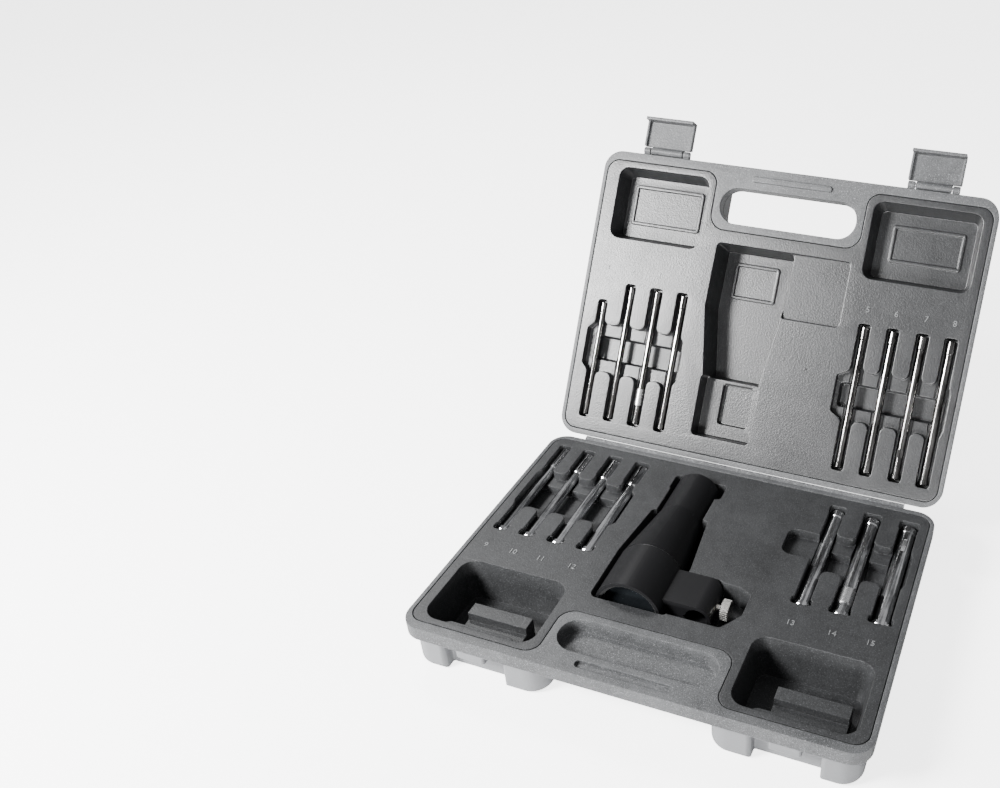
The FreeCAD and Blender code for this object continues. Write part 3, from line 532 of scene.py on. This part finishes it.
@dataclass
class Case:
    """The two halves of the case, their latches and the film between them."""

    finishes: Finishes
    edges: SoftEdges = field(default_factory=SoftEdges)
    film_length: float = 218.0 * MM
    film_thickness: float = 0.5 * MM
    film_start: tuple[float, float, float] = (0.0, 96.0, 31.7)
    film_end: tuple[float, float, float] = (0.0, -0.2, -0.5)
    pip_radius: float = 0.9 * MM
    pip_flatness: float = 0.25
    pip_place: tuple[float, float, float] = (31.0, 71.0, 0.0)

    def build(self) -> None:
        """Builds and dresses the case."""
        halves = (
            ("base_shell", Body.BASE, self.finishes.shell, "case_shell_plastic"),
            ("base_tray", Body.BASE, self.finishes.tray, "case_tray_plastic"),
            ("lid_shell", Body.LID, self.finishes.shell, "case_shell_plastic"),
            ("lid_tray", Body.LID, self.finishes.lid_tray, "case_tray_plastic"),
            ("latch_left", Body.LATCH_LEFT, self.finishes.shell, "case_shell_plastic"),
            ("latch_right", Body.LATCH_RIGHT, self.finishes.shell, "case_shell_plastic"),
        )
        for node, body, material, slot in halves:
            made = piece(node + "_moulding", self.edges.copy_of(node), body, material, [node])
            shade_by_angle(made)
        for node in ("latch_pin_left", "latch_pin_right"):
            dress(node, self.finishes.pin)
        self.film()
        self.pip()

    def film(self) -> None:
        """Builds the thin flat strip that spans between the two halves."""
        start = Vector(self.film_start) * MM
        end = LidFace.matrix() @ (Vector(self.film_end) * MM)
        run = end - start
        mesh = bmesh.new()
        bmesh.ops.create_grid(mesh, x_segments=60, y_segments=8, size=0.5)
        across = Vector((0.0, run.y, run.z)).normalized()
        normal = Vector((1.0, 0.0, 0.0)).cross(across)
        turn = Matrix(((1.0, 0.0, 0.0), across, normal)).transposed().to_4x4()
        size = Matrix.Diagonal((self.film_length, run.length, 1.0, 1.0))
        place = Matrix.Translation((start + end) / 2) @ turn @ size
        bmesh.ops.transform(mesh, matrix=place, verts=mesh.verts[:])
        bmesh.ops.solidify(mesh, geom=mesh.faces[:], thickness=self.film_thickness)
        bmesh.ops.recalc_face_normals(mesh, faces=mesh.faces[:])
        strip = piece("film_hinge", mesh, Body.BASE, self.finishes.film, ["living_hinge"],
                      rides=False)
        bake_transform(strip)

    def pip(self) -> None:
        """Builds the small flattened pip on the lid's face."""
        mesh = bmesh.new()
        bmesh.ops.create_uvsphere(mesh, u_segments=20, v_segments=10, radius=self.pip_radius)
        spot = Vector(self.pip_place) * MM
        flat = Matrix.Diagonal((1.0, 1.0, self.pip_flatness, 1.0))
        place = LidFace.matrix() @ Matrix.Translation(spot) @ flat
        bmesh.ops.transform(mesh, matrix=place, verts=mesh.verts[:])
        piece("lid_pip", mesh, Body.LID, self.finishes.ring)


@dataclass
class Numerals:
    """Raised index numbers beside the slots."""

    finishes: Finishes
    size: float = 5.2 * MM
    rise: float = 0.3 * MM
    base_y: float = -23.0 * MM
    lid_y: float = 114.5 * MM
    base_x: tuple[float, ...] = (-117.0, -99.0, -81.0, -61.0, 70.0, 93.0, 114.0)
    lid_x: tuple[float, ...] = (-114.0, -96.0, -77.5, -59.0, 63.0, 81.0, 99.5, 117.0)

    def build(self) -> None:
        """Builds the numbers of both halves."""
        on_base = Matrix.Translation((0.0, 0.0, 32.0 * MM))
        first = len(self.lid_x) + 1
        self.row("base_numerals", Body.BASE, on_base, self.base_x, self.base_y, first)
        self.row("lid_numerals", Body.LID, LidFace.matrix(), self.lid_x, self.lid_y, 1)

    def row(self, name: str, body: Body, plane: Matrix, places: Sequence[float], y: float,
            first: int) -> None:
        """Builds one row of numbers.

        Args:
            name: Name of the piece.
            body: Body that the numbers ride on.
            plane: The face that they stand on.
            places: Where each number stands along X, in millimetres.
            y: How far up the face they stand, in metres.
            first: The first number.
        """
        mesh = bmesh.new()
        for number, x in enumerate(places, first):
            glyph = self.glyph(str(number))
            glyph.transform(plane @ Matrix.Translation((x * MM, y, 0.0)))
            mesh.from_mesh(glyph)
            bpy.data.meshes.remove(glyph)
        bmesh.ops.remove_doubles(mesh, verts=mesh.verts[:], dist=0.002 * MM)
        bmesh.ops.triangulate(mesh, faces=mesh.faces[:])
        made = piece(name, mesh, body, self.finishes.marks)
        shade_by_angle(made)

    def glyph(self, text: str) -> bpy.types.Mesh:
        """Turns a short text into a raised mesh centred on its origin."""
        curve = bpy.data.curves.new("glyph", "FONT")
        curve.body = text
        curve.size = self.size
        curve.extrude = self.rise
        curve.resolution_u = 3
        curve.align_x = "CENTER"
        curve.align_y = "CENTER"
        holder = bpy.data.objects.new("glyph", curve)
        mesh = bpy.data.meshes.new_from_object(holder)
        bpy.data.objects.remove(holder)
        bpy.data.curves.remove(curve)
        mesh.materials.clear()
        return mesh


# ------------------------------------------------------------------------------ sight and arbors
@dataclass
class Collimator:
    """The sight with its mount block and thumb screw."""

    finishes: Finishes

    def build(self) -> None:
        """Dresses the sight."""
        parts = {
            "collimator_mount": self.finishes.anodised,
            "collimator_tube": self.finishes.anodised,
            "rear_cap": self.finishes.anodised,
            "lens_ring": self.finishes.ring,
            "reticle_ring": self.finishes.ring,
            "barrel_seam_ring": self.finishes.seam,
            "objective_lens": self.finishes.glass,
            "rear_window": self.finishes.glass,
            "reticle": self.finishes.glass,
            "thumb_screw": self.finishes.nickel,
            "clamp_pad": self.finishes.nylon,
        }
        for node, material in parts.items():
            dress(node, material)


@dataclass
class Arbors:
    """The fifteen arbors with what they carry."""

    finishes: Finishes

    def build(self) -> None:
        """Dresses the arbors."""
        for node in sorted(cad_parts):
            if node.startswith("arbor_"):
                carried = node.endswith(("_sleeve", "_clip", "_leaf"))
                # Arbors 01 to 08, in the lid, take the steel painted darker (painted reflection); the base
                # arbors take the steel painted bright (painted highlight).
                steel = self.finishes.lid_arbor if node[6:8] < "09" else self.finishes.arbor
                dress(node, self.finishes.bright if carried else steel)


# ------------------------------------------------------------------------------ stage
@dataclass
class Stage:
    """Floor, light and camera."""

    eye: tuple[float, float, float] = (0.159, -0.4074, 0.4275)
    forward: tuple[float, float, float] = (-0.27449, 0.76969, -0.57640)
    upward: tuple[float, float, float] = (-0.19824, 0.54125, 0.81716)
    lens: float = 36.477
    shift: tuple[float, float] = (-0.2076, 0.0485)
    floor_size: float = 4.0

    def build(self) -> None:
        """Builds the stage."""
        self.floor()
        self.light()
        self.camera()

    def floor(self) -> None:
        """Adds the floor."""
        mesh = bmesh.new()
        bmesh.ops.create_grid(mesh, x_segments=1, y_segments=1, size=self.floor_size)
        data = bpy.data.meshes.new("floor")
        mesh.to_mesh(data)
        mesh.free()
        floor = bpy.data.objects.new("floor", data)
        bpy.context.scene.collection.objects.link(floor)
        data.materials.append(PaleFloor("floor_paper").make())

    @staticmethod
    def panel(name: str, place: Sequence[float], target: Sequence[float], size: float, power: float) -> None:
        """Adds one soft light panel.

        Args:
            name: Name of the light.
            place: Where it stands.
            target: Where it points.
            size: Its side in metres.
            power: Its power in watts.
        """
        data = bpy.data.lights.new(name, "AREA")
        data.shape = "SQUARE"
        data.size = size
        data.energy = power
        lamp = bpy.data.objects.new(name, data)
        lamp.location = place
        aim = Vector(target) - Vector(place)
        lamp.rotation_euler = aim.to_track_quat("-Z", "Y").to_euler()
        bpy.context.scene.collection.objects.link(lamp)

    def light(self) -> None:
        """Adds the soft studio light."""
        world = bpy.data.worlds.new("studio")
        world.use_nodes = True
        back = world.node_tree.nodes["Background"]
        back.inputs[0].default_value = (0.97, 0.98, 1.0, 1.0)
        back.inputs[1].default_value = 0.38
        bpy.context.scene.world = world
        self.panel("sheen_panel", (-0.62, -0.60, 0.66), (-0.10, 0.15, 0.12), 0.30, 40.0)
        self.panel("front_panel", (0.2, -1.35, 0.10), (0.0, 0.0, 0.02), 0.4, 34.0)
        self.panel("key_panel", (-0.75, 0.55, 1.1), (0.0, 0.0, 0.03), 0.22, 11.0)

    def camera(self) -> None:
        """Adds the camera."""
        data = bpy.data.cameras.new("camera")
        data.lens = self.lens
        data.sensor_width = 36.0
        data.sensor_fit = "HORIZONTAL"
        data.shift_x, data.shift_y = self.shift
        data.clip_start = 0.01
        data.clip_end = 50.0
        eye = bpy.data.objects.new("camera", data)
        ahead = Vector(self.forward).normalized()
        up = Vector(self.upward).normalized()
        right = ahead.cross(up).normalized()
        up = right.cross(ahead)
        turn = Matrix((right, up, -ahead)).transposed().to_4x4()
        eye.matrix_world = Matrix.Translation(Vector(self.eye)) @ turn
        bpy.context.scene.collection.objects.link(eye)
        bpy.context.scene.camera = eye


def main() -> None:
    logging.basicConfig(level=logging.INFO, format="%(message)s")
    finishes = Finishes.build()
    Case(finishes).build()
    Collimator(finishes).build()
    Arbors(finishes).build()
    Numerals(finishes).build()
    Stage().build()


if __name__ == "__main__":
    main()
